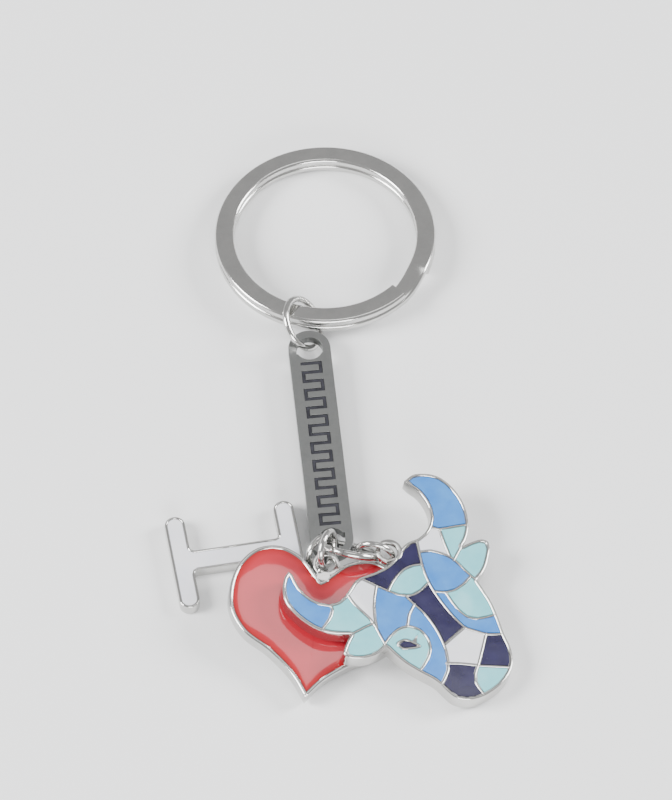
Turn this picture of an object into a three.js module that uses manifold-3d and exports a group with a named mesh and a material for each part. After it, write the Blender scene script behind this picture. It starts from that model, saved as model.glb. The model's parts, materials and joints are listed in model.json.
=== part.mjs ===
// Souvenir keychain: a flat-wire split ring, a jump ring, a name bar, a link ring,
// and three enamelled charms (a plain I, a heart and a mosaic bull's head), each on its own jump ring.
// Millimetres, +Z up, lying flat on a table as it is laid down.
import * as THREE from "three";
import { mergeVertices } from "three/addons/utils/BufferGeometryUtils.js";
import Module from "manifold-3d";

const wasm = await Module();
wasm.setup();
const { Manifold } = wasm;
const deg = (d) => THREE.MathUtils.degToRad(d);

// ---------------------------------------------------------------- driving dimensions
const splitRing = {
  outerDiameter: 30, stripWidth: 2.6, coilThickness: 1.14, coilGap: 0.12, edgeChamfer: 0.3,
  endAngle: -43.6, crossing: 23, nearRise: 1.67465, stepAngle: 7,
};
const jumpRing = { centreDiameter: 7.0, wire: 0.9 };
const linkRing = { centreDiameter: 7.8, wire: 1.0 };
const smallRing = { centreDiameter: 4.8, wire: 0.85 };
const bar = {
  width: 5.7, thickness: 1.4, length: 28.8, upperEyeReach: 0.8, lowerEyeReach: 0.9,
  eyeHoleRadius: 1.8,
};
const meander = { height: 2.9, stroke: 0.5, depth: 0.35, teeth: 9, endMargin: 1.6 };
const iCharm = {
  length: 17.5, serifLength: 14.5, serifWidth: 2.75, stemWidth: 3.1, fillet: 0.5, thickness: 1.8, rim: 0.32,
};
const heart = { thickness: 2.0, rim: 0.6 };
const bull = { thickness: 2.4, rim: 0.45, wall: 0.36 };
const enamel = { pocketDepth: 0.6, clearance: 0.05, recess: 0.08 };
const tab = { holeRadius: 1.15, band: 0.65, thickness: 0.7 };

// where the pieces lie: [x, y, z] and tilts in degrees. The jump ring and the bar are placed from the
// middle of the split ring's strip where they hang, the rest from the bar's lower end.
const hangAcross = -2.99;
const place = {
  jumpRing: { at: [0, -1.07926, 3.116], normal: [0.755, -0.085, 0.65] },
  bar: { at: [0.94, -5.73026, 1.5], pitch: 0.4, spin: 5.8 },
  linkRing: { at: [2.60358, -3.18713, 2.21203], normal: [0.198, 0.742, 0.64] },
  iRing: { at: [-1.23842, -2.99213, 1.36903], normal: [0.641, -0.696, 0.325] },
  heartRing: { at: [-0.53242, -4.21613, 4.16003], normal: [0.929, -0.323, 0.179] },
  bullRing: { at: [5.80158, -4.30313, 3.13903], normal: [-0.205, -0.978, -0.027] },
  iCharm: { at: [-12.66042, -2.64813, -1.29997], pitch: 0, roll: 0, spin: 10 },
  heart: { at: [-3.66042, -25.39813, -0.73997], pitch: 6, roll: 6.8, spin: -7 },
  bull: { at: [18.13958, -27.49813, -0.79997], pitch: 3.7, roll: 8.2, spin: 0 },
};

// ---------------------------------------------------------------- finishes
const metal = (color, roughness) => new THREE.MeshStandardMaterial({ color, roughness, metalness: 1 });
const glaze = (color) => new THREE.MeshStandardMaterial({ color, roughness: 0.15, metalness: 0 });
const nickel = metal(0xc9c7c2, 0.2);
const antiqueNickel = metal(0x8f908c, 0.35);
const colours = {
  sky: glaze(0x5f9bd6), cyan: glaze(0x9cd5de), navy: glaze(0x322f5a), white: glaze(0xeeeef2),
  red: glaze(0xb3232e), black: glaze(0x14141a),
};

// ---------------------------------------------------------------- solid modelling helpers
function solidOf(geometry) {
  const bare = geometry.clone();
  bare.deleteAttribute("normal");
  bare.deleteAttribute("uv");
  const merged = mergeVertices(bare, 1e-5);
  return new Manifold(new wasm.Mesh({
    numProp: 3,
    vertProperties: new Float32Array(merged.attributes.position.array),
    triVerts: new Uint32Array(merged.index.array),
  }));
}

function geometryOf(solid) {
  const mesh = solid.getMesh();
  const geometry = new THREE.BufferGeometry();
  geometry.setAttribute("position", new THREE.BufferAttribute(new Float32Array(mesh.vertProperties), 3));
  geometry.setIndex(new THREE.BufferAttribute(new Uint32Array(mesh.triVerts), 1));
  return geometry;
}

// the solid's surface with corners closer than reach made one, and the slivers that this closes left out
function tidied(solid, reach = 0.006) {
  const mesh = solid.getMesh();
  const at = mesh.vertProperties;
  const count = at.length / 3;
  const keep = Array.from({ length: count }, (_, i) => i);
  for (let i = 0; i < count; i += 1) {
    if (keep[i] !== i) continue;
    for (let j = i + 1; j < count; j += 1) {
      if (keep[j] !== j || Math.abs(at[3 * i] - at[3 * j]) > reach) continue;
      const gap = Math.hypot(
        at[3 * i] - at[3 * j], at[3 * i + 1] - at[3 * j + 1], at[3 * i + 2] - at[3 * j + 2],
      );
      if (gap < reach) keep[j] = i;
    }
  }
  const faces = new Map();
  for (let t = 0; t < mesh.triVerts.length; t += 3) {
    const [a, b, c] = [0, 1, 2].map((k) => keep[mesh.triVerts[t + k]]);
    if (a === b || b === c || c === a) continue;
    const low = Math.min(a, b, c);
    const turned = a === low ? [a, b, c] : b === low ? [b, c, a] : [c, a, b];
    const opposite = [turned[0], turned[2], turned[1]].join();
    if (faces.has(opposite)) faces.delete(opposite);
    else faces.set(turned.join(), turned);
  }
  const geometry = new THREE.BufferGeometry();
  geometry.setAttribute("position", new THREE.BufferAttribute(new Float32Array(at), 3));
  geometry.setIndex([...faces.values()].flat());
  const bodies = bodiesOf(solidOf(geometry.toNonIndexed())).filter((body) => body.volume() > 0.001);
  return geometryOf(joined(bodies));
}

function joined(solids) {
  return solids.reduce((whole, next) => whole.add(next));
}

// a flat plate of the closed outline (a list of [x, y] or a THREE.Shape), from z = low to z = high
function plate(outline, low, high, curveSegments = 10) {
  const shape = outline instanceof THREE.Shape
    ? outline
    : new THREE.Shape(outline.map(([x, y]) => new THREE.Vector2(x, y)));
  const geometry = new THREE.ExtrudeGeometry(shape, { depth: high - low, bevelEnabled: false, curveSegments });
  geometry.translate(0, 0, low);
  return solidOf(geometry);
}

function disc(x, y, radius, low, high, sides = 24) {
  const geometry = new THREE.CylinderGeometry(radius, radius, high - low, sides);
  geometry.rotateX(Math.PI / 2);
  geometry.translate(x, y, (low + high) / 2);
  return solidOf(geometry);
}

// points along a smooth curve through the given ones, about one every step millimetres
function smooth(points, step = 0.9) {
  const curve = new THREE.CatmullRomCurve3(points.map(([x, y]) => new THREE.Vector3(x, y, 0)));
  const count = Math.max(points.length - 1, Math.round(curve.getLength() / step));
  return curve.getSpacedPoints(count).map((p) => [p.x, p.y]);
}

// a closed outline made of smooth runs that meet at corners
function outlineOf(runs, step) {
  return runs.flatMap((run) => smooth(run, step).slice(0, -1));
}

// an upright band of the given half width that follows a line of points
function ribbon(points, halfWidth, low, high) {
  const pieces = points.map(([x, y]) => disc(x, y, halfWidth, low, high, 8));
  for (let i = 1; i < points.length; i += 1) {
    const [x0, y0] = points[i - 1];
    const [x1, y1] = points[i];
    const run = Math.hypot(x1 - x0, y1 - y0);
    const box = new THREE.BoxGeometry(run, 2 * halfWidth, high - low);
    box.rotateZ(Math.atan2(y1 - y0, x1 - x0));
    box.translate((x0 + x1) / 2, (y0 + y1) / 2, (low + high) / 2);
    pieces.push(solidOf(box));
  }
  return joined(pieces);
}

// the separate bodies of a solid, as geometries: triangles that share corners belong together
function bodiesOf(solid) {
  const geometry = geometryOf(solid);
  const index = geometry.index.array;
  const parent = Array.from({ length: geometry.attributes.position.count }, (_, i) => i);
  const find = (i) => {
    let top = i;
    while (parent[top] !== top) top = parent[top];
    parent[i] = top;
    return top;
  };
  for (let t = 0; t < index.length; t += 3) {
    parent[find(index[t])] = find(index[t + 1]);
    parent[find(index[t + 1])] = find(index[t + 2]);
  }
  const groups = new Map();
  for (let t = 0; t < index.length; t += 3) {
    const key = find(index[t]);
    if (!groups.has(key)) groups.set(key, []);
    groups.get(key).push(index[t], index[t + 1], index[t + 2]);
  }
  return [...groups.values()].map((triangles) => {
    const body = new THREE.BufferGeometry();
    body.setAttribute("position", geometry.attributes.position.clone());
    body.setIndex(triangles);
    return solidOf(mergeVertices(body.toNonIndexed(), 1e-6));
  });
}

// whether a flat solid covers the point (x, y)
function covers(solid, [x, y]) {
  const probe = new THREE.BoxGeometry(0.02, 0.02, 20);
  probe.translate(x, y, 0);
  return !solidOf(probe).intersect(solid).isEmpty();
}

// enamel fields inside an outline: what the rim and the cell walls leave free
function fieldsOf(outline, rim, walls, halfWall, low, high) {
  const closed = [...outline, outline[0]];
  let free = plate(outline, low, high).subtract(ribbon(closed, rim, low - 1, high + 1));
  for (const wall of walls) free = free.subtract(ribbon(wall, halfWall, low - 1, high + 1));
  return bodiesOf(free);
}

// a charm's metal body with a pocket for each cell, and the enamel that fills each pocket
function enamelled({ outline, thickness, rim, walls, wall, cells, extra }) {
  const floor = thickness - enamel.pocketDepth;
  const pockets = fieldsOf(outline, rim, walls, wall / 2, floor, thickness + 1);
  const fills = fieldsOf(
    outline, rim + enamel.clearance, walls, wall / 2 + enamel.clearance,
    floor + enamel.clearance, thickness - enamel.recess,
  );
  let body = plate(outline, 0, thickness);
  if (extra) body = extra(body);
  const inlays = [];
  for (const cell of cells) {
    const pocket = pockets.find((p) => covers(p, cell.at));
    const fill = fills.find((f) => covers(f, cell.at));
    if (!pocket || !fill) throw new Error(`no field for ${cell.name}`);
    body = body.subtract(pocket);
    inlays.push({ ...cell, geometry: tidied(fill) });
  }
  return { body: tidied(body), inlays };
}

// a lug with a hole, which joins the body's edge; a hole is cut through whatever the lug overlaps
function withTab(body, [x, y], root, low) {
  const neck = ribbon([root, [x, y]], 1.2, low, low + tab.thickness);
  const lug = disc(x, y, tab.holeRadius + tab.band, low, low + tab.thickness).add(neck);
  return body.add(lug).subtract(disc(x, y, tab.holeRadius, -1, 20));
}

function named(name, geometry, material) {
  const mesh = new THREE.Mesh(geometry, material);
  mesh.name = name;
  return mesh;
}

// ---------------------------------------------------------------- rings
// a flat strip wound in two turns, upper turn to lower turn across a short crossing
function splitRingGeometry() {
  const s = splitRing;
  const radius = (s.outerDiameter - s.stripWidth) / 2;
  const rise = s.coilThickness + s.coilGap;
  const halfW = s.stripWidth / 2;
  const halfT = s.coilThickness / 2;
  const c = s.edgeChamfer;
  const section = [
    [halfW, -halfT + c], [halfW, halfT - c], [halfW - c, halfT], [-halfW + c, halfT],
    [-halfW, halfT - c], [-halfW, -halfT + c], [-halfW + c, -halfT], [halfW - c, -halfT],
  ];
  const turn = 360 - s.crossing;
  const stops = [];
  const upperSteps = Math.round(turn / s.stepAngle);
  for (let i = 0; i <= upperSteps; i += 1) stops.push([(turn * i) / upperSteps, 1]);
  const rampSteps = 6;
  for (let i = 1; i < rampSteps; i += 1) {
    const t = i / rampSteps;
    stops.push([turn + s.crossing * t, (1 + Math.cos(Math.PI * t)) / 2]);
  }
  for (let i = 0; i <= upperSteps; i += 1) stops.push([360 + (turn * i) / upperSteps, 0]);
  const positions = [];
  const triangles = [];
  const n = section.length;
  stops.forEach(([travel, level], k) => {
    const angle = deg(s.endAngle - travel);
    for (const [r, z] of section) {
      positions.push((radius + r) * Math.cos(angle), (radius + r) * Math.sin(angle), z + halfT + rise * level);
    }
    if (k === 0) return;
    for (let i = 0; i < n; i += 1) {
      const a = (k - 1) * n + i;
      const b = (k - 1) * n + ((i + 1) % n);
      triangles.push(a, b, a + n, b, b + n, a + n);
    }
  });
  const last = (stops.length - 1) * n;
  for (let i = 1; i < n - 1; i += 1) {
    triangles.push(0, i + 1, i);
    triangles.push(last, last + i, last + i + 1);
  }
  const geometry = new THREE.BufferGeometry();
  geometry.setAttribute("position", new THREE.Float32BufferAttribute(positions, 3));
  geometry.setIndex(triangles);
  return geometry;
}

function wireRing(name, size, pose) {
  const geometry = new THREE.TorusGeometry(size.centreDiameter / 2, size.wire / 2, 8, 24);
  const ring = named(name, mergeVertices(bareOf(geometry), 1e-5), nickel);
  ring.position.set(...pose.at);
  ring.quaternion.setFromUnitVectors(new THREE.Vector3(0, 0, 1), new THREE.Vector3(...pose.normal).normalize());
  return ring;
}

function bareOf(geometry) {
  geometry.deleteAttribute("normal");
  geometry.deleteAttribute("uv");
  return geometry;
}

// ---------------------------------------------------------------- name bar
// drawn with its upper hole's flat edge on y = 0, running down to y = -length
function barPieces() {
  const half = bar.width / 2;
  const eye = (y, reach) => {
    const hole = disc(0, y + reach, bar.eyeHoleRadius, -1, bar.thickness + 1);
    const flatStart = new THREE.BoxGeometry(2 * bar.eyeHoleRadius, Math.abs(reach), bar.thickness + 2);
    flatStart.translate(0, y + reach / 2, bar.thickness / 2);
    return hole.add(solidOf(flatStart));
  };
  const low = -bar.length;
  const outline = new THREE.Shape();
  outline.moveTo(half, low - bar.lowerEyeReach);
  outline.lineTo(half, bar.upperEyeReach);
  outline.absarc(0, bar.upperEyeReach, half, 0, Math.PI, false);
  outline.lineTo(-half, low - bar.lowerEyeReach);
  outline.absarc(0, low - bar.lowerEyeReach, half, Math.PI, 2 * Math.PI, false);
  let body = plate(outline, 0, bar.thickness, 12);
  body = body.subtract(eye(0, bar.upperEyeReach)).subtract(eye(low, -bar.lowerEyeReach));
  const floor = bar.thickness - meander.depth;
  body = body.subtract(keyPattern(meander.stroke / 2, floor, bar.thickness + 1));
  const inlay = keyPattern(
    meander.stroke / 2 - enamel.clearance, floor + enamel.clearance, bar.thickness - enamel.recess,
  );
  return { body: tidied(body), inlay: tidied(inlay) };
}

// a square-wave key line along the bar
function keyPattern(halfStroke, low, high) {
  const reach = (meander.height - meander.stroke) / 2;
  const pitch = (bar.length - 2 * meander.endMargin) / (2 * meander.teeth);
  const points = [];
  for (let i = 0; i <= 2 * meander.teeth; i += 1) {
    const y = -meander.endMargin - i * pitch;
    const side = i % 2 === 0 ? 1 : -1;
    points.push([-side * reach, y], [side * reach, y]);
  }
  const strokes = points.slice(1).map(([x1, y1], i) => {
    const [x0, y0] = points[i];
    const box = new THREE.BoxGeometry(
      Math.abs(x1 - x0) + 2 * halfStroke, Math.abs(y1 - y0) + 2 * halfStroke, high - low,
    );
    box.translate((x0 + x1) / 2, (y0 + y1) / 2, (low + high) / 2);
    return solidOf(box);
  });
  return joined(strokes);
}

// ---------------------------------------------------------------- I charm, centred on its stem
const iTab = [9.9, -4.2];
function iOutline() {
  const { length, serifLength, serifWidth, stemWidth, fillet } = iCharm;
  const end = length / 2;
  const inner = end - serifWidth;
  const tip = serifLength / 2 - serifWidth / 2;
  const stem = stemWidth / 2;
  const shape = new THREE.Shape();
  const serif = (side) => {
    const round = side > 0 ? 0 : Math.PI;
    shape.lineTo(side * inner, -side * (stem + fillet));
    shape.lineTo(side * inner, -side * tip);
    shape.absarc(side * (inner + serifWidth / 2), -side * tip, serifWidth / 2, Math.PI + round, 2 * Math.PI + round);
    shape.lineTo(side * end, side * tip);
    shape.absarc(side * (inner + serifWidth / 2), side * tip, serifWidth / 2, round, Math.PI + round);
    shape.lineTo(side * inner, side * (stem + fillet));
    shape.lineTo(side * (inner - fillet), side * stem);
  };
  shape.moveTo(inner - fillet, -stem);
  serif(1);
  shape.lineTo(-(inner - fillet), stem);
  serif(-1);
  shape.closePath();
  return shape.extractPoints(5).shape.slice(0, -1).map((p) => [p.x, p.y]);
}

function iPieces() {
  return enamelled({
    outline: iOutline(), thickness: iCharm.thickness, rim: iCharm.rim, walls: [], wall: 0,
    cells: [{ name: "i_charm_enamel", at: [0, 0], colour: "white" }],
    extra: (body) => withTab(body, iTab, [7.5, -3.8], iCharm.thickness - tab.thickness),
  });
}

// ---------------------------------------------------------------- heart charm, tip at the origin
const heartSide = [
  [0, 0], [2.2, 3.0], [5.6, 5.9], [9.4, 8.2], [11.5, 11.2], [12.0, 14.6],
  [11.2, 18.2], [9.0, 20.9], [6.0, 21.7], [3.0, 20.6], [1.1, 18.7], [0, 17.4],
];
const heartTab = [0.3, 20.1];

function heartPieces() {
  const mirrored = heartSide.map(([x, y]) => [-x, y]).reverse();
  return enamelled({
    outline: outlineOf([heartSide, mirrored], 1.3), thickness: heart.thickness, rim: heart.rim, walls: [], wall: 0,
    cells: [{ name: "heart_enamel", at: [0, 10], colour: "red" }],
    extra: (body) => withTab(body, heartTab, [0, 17], heart.thickness - tab.thickness),
  });
}

// ---------------------------------------------------------------- bull's head charm
// outline runs between corners, from the tip of the right horn, clockwise
const bullRuns = [
  [[-8.8, 33.9], [-7.7, 34.9], [-6.3, 35.2], [-4.5, 35.0], [-3.0, 34.1], [-1.6, 32.5], [-0.7, 30.8],
    [-0.2, 28.8], [-0.2, 27.0], [-0.6, 25.4], [-1.1, 24.5]],
  [[-1.1, 24.5], [0.4, 25.4], [1.6, 25.8], [2.4, 25.6], [2.7, 24.6], [2.5, 23.1], [2.2, 21.8],
    [1.6, 20.5], [0.9, 19.6]],
  [[0.9, 19.6], [1.8, 18.2], [2.9, 16.3], [3.8, 14.0], [4.6, 11.6], [5.3, 10.0], [5.7, 8.2], [5.5, 6.5],
    [4.3, 4.3], [3.0, 3.0], [1.7, 2.1], [0.2, 1.5], [-1.0, 1.4], [-2.2, 1.7], [-3.3, 2.6], [-4.6, 3.9],
    [-6.8, 5.1], [-8.8, 6.3], [-10.3, 7.6], [-11.3, 8.6]],
  [[-11.3, 8.6], [-12.4, 7.4], [-13.6, 6.8], [-15.0, 6.5], [-16.4, 6.6], [-17.0, 7.2], [-16.8, 8.3],
    [-16.4, 9.3], [-16.0, 10.1]],
  [[-16.0, 10.1], [-17.7, 10.0], [-19.2, 10.1], [-20.7, 10.6], [-22.2, 11.5], [-23.5, 12.6],
    [-24.6, 13.9], [-25.1, 15.2], [-25.2, 16.6], [-24.9, 18.1], [-24.4, 18.9]],
  [[-24.4, 18.9], [-23.9, 18.5], [-23.5, 17.6], [-22.8, 16.4], [-21.7, 15.3], [-20.4, 14.6], [-18.9, 14.4]],
  [[-18.9, 14.4], [-17.7, 14.9], [-16.6, 16.2], [-15.6, 18.0], [-14.8, 18.8]],
  [[-14.8, 18.8], [-13.0, 19.6], [-11.4, 20.6], [-10.2, 21.9], [-9.3, 23.5], [-8.3, 24.6], [-7.1, 25.2]],
  [[-7.1, 25.2], [-6.1, 26.2], [-5.5, 27.4], [-5.3, 28.8], [-5.6, 30.2], [-6.2, 31.4], [-7.1, 32.5],
    [-8.1, 33.2], [-8.8, 33.9]],
];

// raised walls between the enamel fields
const bullWalls = [
  [[0.2, 28.0], [-2.3, 27.4], [-4.1, 26.9], [-5.8, 27.4]],
  [[-4.1, 26.9], [-3.5, 25.0], [-2.7, 22.9]],
  [[-6.8, 23.2], [-5.4, 23.5], [-4.1, 23.3], [-2.7, 22.8], [-1.6, 21.9], [-0.6, 20.8], [1.2, 19.2]],
  [[-0.8, 25.3], [-1.4, 24.0], [-2.2, 22.3]],
  [[-7.3, 25.6], [-6.9, 23.4], [-6.5, 21.4], [-6.0, 19.8], [-5.2, 18.0], [-4.3, 16.5], [-3.3, 15.1],
    [-2.1, 13.6], [-0.8, 12.3]],
  [[-6.4, 21.4], [-8.2, 20.9], [-9.4, 19.9], [-10.4, 18.4], [-11.0, 17.0]],
  [[0.1, 20.1], [-1.1, 18.6], [-2.8, 17.5], [-4.9, 17.4]],
  [[-3.4, 17.5], [-2.1, 15.5], [-0.9, 14.2], [0.3, 13.7], [1.7, 13.9], [4.0, 14.8]],
  [[-0.9, 12.3], [0.9, 11.8], [2.3, 11.5], [5.0, 11.8]],
  [[-0.7, 12.4], [-3.4, 9.6]],
  [[-8.9, 16.6], [-7.4, 15.1], [-6.2, 14.0], [-4.9, 12.2], [-4.0, 10.5], [-3.4, 8.9], [-3.1, 7.3],
    [-3.0, 6.0], [-3.3, 4.8], [-4.2, 3.0]],
  [[2.1, 11.6], [1.6, 9.2], [1.0, 6.7]],
  [[-3.2, 6.7], [-1.1, 6.8], [1.0, 6.7], [6.0, 6.8]],
  [[1.0, 6.8], [0.6, 5.1], [0.8, 3.9], [2.2, 1.9]],
  [[-7.5, 15.3], [-8.2, 13.7], [-8.5, 11.8]],
  [[-11.6, 8.9], [-10.0, 11.1], [-8.4, 11.9], [-6.7, 11.4], [-5.6, 10.0], [-5.4, 8.3], [-6.0, 6.6], [-7.3, 4.6]],
  [[-16.7, 16.3], [-15.4, 14.4], [-14.2, 13.3], [-13.1, 12.1], [-12.3, 10.6], [-11.2, 8.4]],
  [[-12.6, 17.7], [-12.9, 15.4], [-12.9, 13.4], [-12.6, 11.4]],
  [[-15.2, 18.8], [-12.7, 17.7], [-11.0, 17.0], [-9.2, 16.5], [-7.4, 16.8], [-5.6, 18.7]],
  [[-16.4, 9.9], [-14.9, 10.8], [-14.0, 11.4], [-12.9, 12.0]],
  [[-18.9, 14.8], [-18.5, 13.4], [-18.9, 12.1], [-20.3, 10.0]],
];
const eyeRim = [[-9.8, 9.2], [-8.8, 9.8], [-7.7, 9.5], [-6.8, 9.0], [-8.0, 8.6], [-9.2, 8.5]];

const bullCells = [
  { name: "bull_right_horn_enamel", at: [-2.6, 31], colour: "sky" },
  { name: "bull_horn_root_cyan_enamel", at: [-1.9, 25.6], colour: "cyan" },
  { name: "bull_horn_root_white_enamel", at: [-5.0, 25.2], colour: "white" },
  { name: "bull_right_ear_enamel", at: [0.6, 22.9], colour: "cyan" },
  { name: "bull_forehead_navy_enamel", at: [-8.5, 22.3], colour: "navy" },
  { name: "bull_forehead_cyan_enamel", at: [-8.2, 19.0], colour: "cyan" },
  { name: "bull_crown_enamel", at: [-3.6, 20.2], colour: "sky" },
  { name: "bull_right_cheek_enamel", at: [0.8, 16.5], colour: "cyan" },
  { name: "bull_cheek_stripe_enamel", at: [0.1, 12.9], colour: "sky" },
  { name: "bull_nose_stripe_enamel", at: [-4.3, 13.6], colour: "navy" },
  { name: "bull_muzzle_white_enamel", at: [-0.9, 9.2], colour: "white" },
  { name: "bull_muzzle_right_enamel", at: [3.4, 9.2], colour: "navy" },
  { name: "bull_muzzle_left_enamel", at: [-1.4, 4.4], colour: "navy" },
  { name: "bull_muzzle_cyan_enamel", at: [2.7, 5.2], colour: "cyan" },
  { name: "bull_nose_side_enamel", at: [-4.7, 7.6], colour: "sky" },
  { name: "bull_left_cheek_enamel", at: [-10.8, 14.2], colour: "sky" },
  { name: "bull_eye_field_enamel", at: [-8.2, 7.2], colour: "cyan" },
  { name: "bull_eye_enamel", at: [-8.7, 9.2], colour: "navy" },
  { name: "bull_temple_enamel", at: [-13.8, 15.7], colour: "white" },
  { name: "bull_left_ear_upper_enamel", at: [-16.6, 12.8], colour: "cyan" },
  { name: "bull_left_ear_lower_enamel", at: [-14.2, 8.9], colour: "cyan" },
  { name: "bull_left_horn_enamel", at: [-21.8, 13.4], colour: "sky" },
];
const bullTab = [-10.9, 23.0];

function bullPieces() {
  const eye = smooth([...eyeRim, eyeRim[0]], 0.5);
  return enamelled({
    outline: outlineOf(bullRuns, 1.3), thickness: bull.thickness, rim: bull.rim,
    walls: [...bullWalls.map((w) => smooth(w, 1.5)), eye], wall: bull.wall, cells: bullCells,
    extra: (body) => withTab(body, bullTab, [-10, 20.5], bull.thickness - tab.thickness),
  });
}

// ---------------------------------------------------------------- assembly
function charmGroup(pose, bodyName, pieces) {
  const group = new THREE.Group();
  group.position.set(...pose.at);
  group.rotation.set(deg(pose.pitch), deg(pose.roll), deg(pose.spin));
  group.add(named(bodyName, pieces.body, nickel));
  for (const inlay of pieces.inlays) group.add(named(inlay.name, inlay.geometry, colours[inlay.colour]));
  return group;
}

const keychain = new THREE.Group();

const ringGroup = new THREE.Group();
ringGroup.rotation.x = -Math.asin(splitRing.nearRise / splitRing.outerDiameter);
ringGroup.position.z = splitRing.nearRise / 2;
ringGroup.add(named("split_ring", splitRingGeometry(), nickel));
keychain.add(ringGroup);

const stripRadius = (splitRing.outerDiameter - splitRing.stripWidth) / 2;
const hanging = new THREE.Group();
hanging.position.set(hangAcross, -Math.sqrt(stripRadius ** 2 - hangAcross ** 2), 0);
keychain.add(hanging);

hanging.add(wireRing("upper_jump_ring", jumpRing, place.jumpRing));

const barGroup = new THREE.Group();
barGroup.position.set(...place.bar.at);
barGroup.rotation.set(deg(place.bar.pitch), 0, deg(place.bar.spin));
const barParts = barPieces();
barGroup.add(named("name_bar", barParts.body, antiqueNickel));
barGroup.add(named("bar_key_inlay", barParts.inlay, colours.black));
hanging.add(barGroup);

const lowerEnd = new THREE.Group();
lowerEnd.position.set(0, -bar.length, 0).applyEuler(barGroup.rotation).add(barGroup.position);
hanging.add(lowerEnd);

lowerEnd.add(wireRing("link_ring", linkRing, place.linkRing));
lowerEnd.add(wireRing("i_jump_ring", smallRing, place.iRing));
lowerEnd.add(wireRing("heart_jump_ring", smallRing, place.heartRing));
lowerEnd.add(wireRing("bull_jump_ring", smallRing, place.bullRing));

lowerEnd.add(charmGroup(place.iCharm, "i_charm_body", iPieces()));
lowerEnd.add(charmGroup(place.heart, "heart_body", heartPieces()));
lowerEnd.add(charmGroup(place.bull, "bull_body", bullPieces()));

// the origin is at the middle of the footprint, on the table
const laidOut = new THREE.Group();
const box = new THREE.Box3().setFromObject(keychain, true);
keychain.position.set(-(box.min.x + box.max.x) / 2, -(box.min.y + box.max.y) / 2, -box.min.z);
laidOut.add(keychain);

export default laidOut;
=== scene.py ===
import bpy
import bmesh
import json
import math
from mathutils import Matrix, Vector
from mathutils.kdtree import KDTree
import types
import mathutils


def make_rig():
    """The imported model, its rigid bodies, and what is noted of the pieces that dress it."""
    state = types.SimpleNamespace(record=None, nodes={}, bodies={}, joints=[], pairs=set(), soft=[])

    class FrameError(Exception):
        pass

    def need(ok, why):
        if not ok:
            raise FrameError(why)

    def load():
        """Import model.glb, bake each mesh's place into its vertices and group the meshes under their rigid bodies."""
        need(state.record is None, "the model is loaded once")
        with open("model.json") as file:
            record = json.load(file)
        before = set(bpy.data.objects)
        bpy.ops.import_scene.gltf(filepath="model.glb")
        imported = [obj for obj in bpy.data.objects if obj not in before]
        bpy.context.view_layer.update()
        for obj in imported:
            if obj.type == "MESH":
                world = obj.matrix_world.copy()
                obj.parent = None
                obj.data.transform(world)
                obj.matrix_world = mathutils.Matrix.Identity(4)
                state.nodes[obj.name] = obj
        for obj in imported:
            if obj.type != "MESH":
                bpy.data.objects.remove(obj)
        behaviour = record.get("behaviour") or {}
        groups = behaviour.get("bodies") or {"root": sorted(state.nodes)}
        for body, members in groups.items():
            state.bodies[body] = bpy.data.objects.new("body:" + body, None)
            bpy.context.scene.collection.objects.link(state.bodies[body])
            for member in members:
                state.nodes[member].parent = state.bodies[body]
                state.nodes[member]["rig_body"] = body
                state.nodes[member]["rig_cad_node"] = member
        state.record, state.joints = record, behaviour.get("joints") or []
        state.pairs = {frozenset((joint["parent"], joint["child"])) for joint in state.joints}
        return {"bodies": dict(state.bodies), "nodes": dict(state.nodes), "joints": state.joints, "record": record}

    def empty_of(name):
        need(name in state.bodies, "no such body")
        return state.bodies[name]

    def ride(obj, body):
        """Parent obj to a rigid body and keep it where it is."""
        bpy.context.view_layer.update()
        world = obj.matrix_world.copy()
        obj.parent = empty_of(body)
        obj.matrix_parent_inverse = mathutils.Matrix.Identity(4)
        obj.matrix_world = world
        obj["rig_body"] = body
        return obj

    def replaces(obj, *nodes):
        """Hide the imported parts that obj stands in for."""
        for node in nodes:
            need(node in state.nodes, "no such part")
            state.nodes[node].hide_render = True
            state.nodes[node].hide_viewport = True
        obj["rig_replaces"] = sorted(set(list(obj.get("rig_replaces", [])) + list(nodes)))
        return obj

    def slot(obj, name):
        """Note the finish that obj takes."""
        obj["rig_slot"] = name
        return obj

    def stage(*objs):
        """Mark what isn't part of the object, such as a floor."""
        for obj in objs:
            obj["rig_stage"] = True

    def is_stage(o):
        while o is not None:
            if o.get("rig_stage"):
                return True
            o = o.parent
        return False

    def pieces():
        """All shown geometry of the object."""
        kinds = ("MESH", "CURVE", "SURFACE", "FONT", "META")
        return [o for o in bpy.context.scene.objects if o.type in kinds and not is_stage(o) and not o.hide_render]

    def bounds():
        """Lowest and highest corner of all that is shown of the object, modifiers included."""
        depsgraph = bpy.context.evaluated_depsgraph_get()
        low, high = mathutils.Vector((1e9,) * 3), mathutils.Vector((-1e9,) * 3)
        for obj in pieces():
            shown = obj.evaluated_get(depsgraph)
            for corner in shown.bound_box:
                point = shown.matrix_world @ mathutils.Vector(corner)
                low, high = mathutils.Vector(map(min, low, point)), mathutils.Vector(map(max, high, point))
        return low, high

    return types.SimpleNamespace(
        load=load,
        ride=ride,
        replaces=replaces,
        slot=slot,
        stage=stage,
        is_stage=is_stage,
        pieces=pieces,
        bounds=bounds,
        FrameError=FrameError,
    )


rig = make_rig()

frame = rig.load()
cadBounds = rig.bounds()
metresPerMillimetre = 0.001
millimetre = Matrix.Scale(metresPerMillimetre, 4)
# the footprint's middle in millimetres, measured from the split ring's centre
rowOrigin = Vector((1.764, -29.4656, -0.0005))

camera = {"elevation": 57, "distance": 1.5, "lens": 501, "clipEnd": 20, "target": (-0.0003, 0.0034, 0.002)}


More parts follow.
